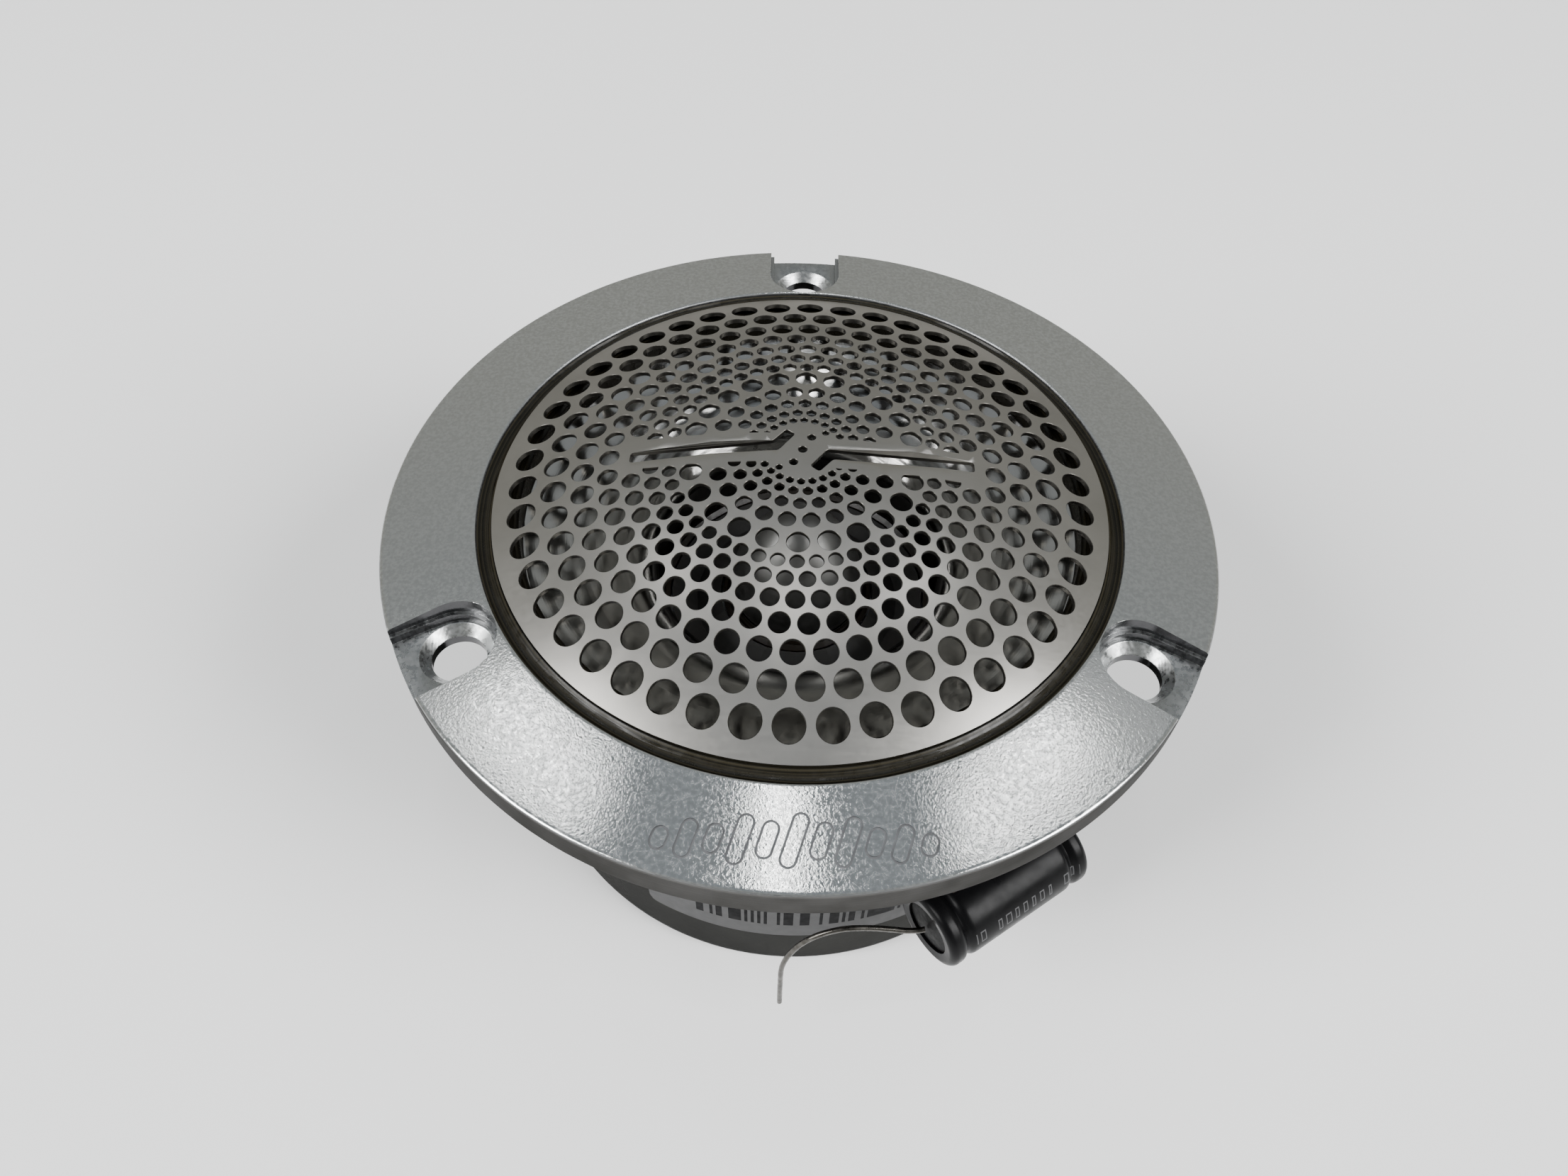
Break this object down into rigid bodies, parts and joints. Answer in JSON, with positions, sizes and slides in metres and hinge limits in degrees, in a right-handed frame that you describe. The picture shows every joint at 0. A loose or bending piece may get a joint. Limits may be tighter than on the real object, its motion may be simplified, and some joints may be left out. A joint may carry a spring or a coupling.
{
  "type": "car tweeter",
  "caption": "Car bullet tweeter: round aluminium horn flange with fixing notches, domed perforated grille, deep rear cup and side capacitor.",
  "frame": {"origin": "centre of the back of the cup, on the tweeter's axis", "axes": "+Z along the tweeter's axis out of the horn; -Y is the side of the printed label, +X the side of the terminals"},
  "size_m": [0.098, 0.098, 0.0597],
  "materials": {
    "machined_aluminium": "fine machined satin",
    "grille_steel": "fine scratched",
    "plug_aluminium": "turned",
    "cup_metal": "satin grey",
    "foam": "matt foam",
    "motor_steel": "zinc plated",
    "ferrite": "matt sintered",
    "black_plastic": "moulded",
    "diaphragm_metal": "thin foil",
    "film": "polyimide film",
    "copper": "enamelled wire",
    "screw_steel": "zinc plated",
    "tab_brass": "tinned brass",
    "wire_red": "wire insulation",
    "wire_black": "wire insulation",
    "sleeve": "glossy shrink sleeve",
    "can_aluminium": "drawn can",
    "seal": "glossy set sealant",
    "adhesive": "set adhesive",
    "tinned_wire": "tinned copper",
    "label": "satin label with plain bars"
  },
  "bodies": {
    "frame": {"horn_flange": "machined_aluminium", "grille_seal_ring": "seal", "grille": "grille_steel", "phase_plug": "plug_aluminium", "rear_cup": "cup_metal", "rear_foam_pad": "foam", "pole_yoke": "motor_steel", "ring_magnet": "ferrite", "top_plate": "motor_steel", "diaphragm_carrier": "black_plastic", "inner_spacer": "plug_aluminium", "outer_surround": "film", "inner_surround": "film", "phase_plug_bolt": "screw_steel", "horn_screw_1": "screw_steel", "horn_screw_2": "screw_steel", "horn_screw_3": "screw_steel", "terminal_block": "black_plastic", "terminal_tab_plus": "tab_brass", "terminal_tab_minus": "tab_brass", "terminal_rivet_plus": "screw_steel", "terminal_rivet_minus": "screw_steel", "inner_lead_plus": "wire_red", "inner_lead_minus": "wire_black", "capacitor_sleeve": "sleeve", "capacitor_can": "can_aluminium", "capacitor_seal_near": "seal", "capacitor_seal_far": "seal", "capacitor_bead": "adhesive", "capacitor_lead_free": "tinned_wire", "capacitor_lead_tied": "tinned_wire", "label": "label"},
    "moving_coil": {"ring_diaphragm": "diaphragm_metal", "voice_coil_former": "film", "voice_coil_winding": "copper"}
  },
  "joints": [
    {"name": "voice_coil_travel", "type": "slide", "parent": "frame", "child": "moving_coil", "axis": [0, 0, 1], "range_m": [-0.0004, 0.0004], "stiffness_N_per_m": 600}
  ]
}
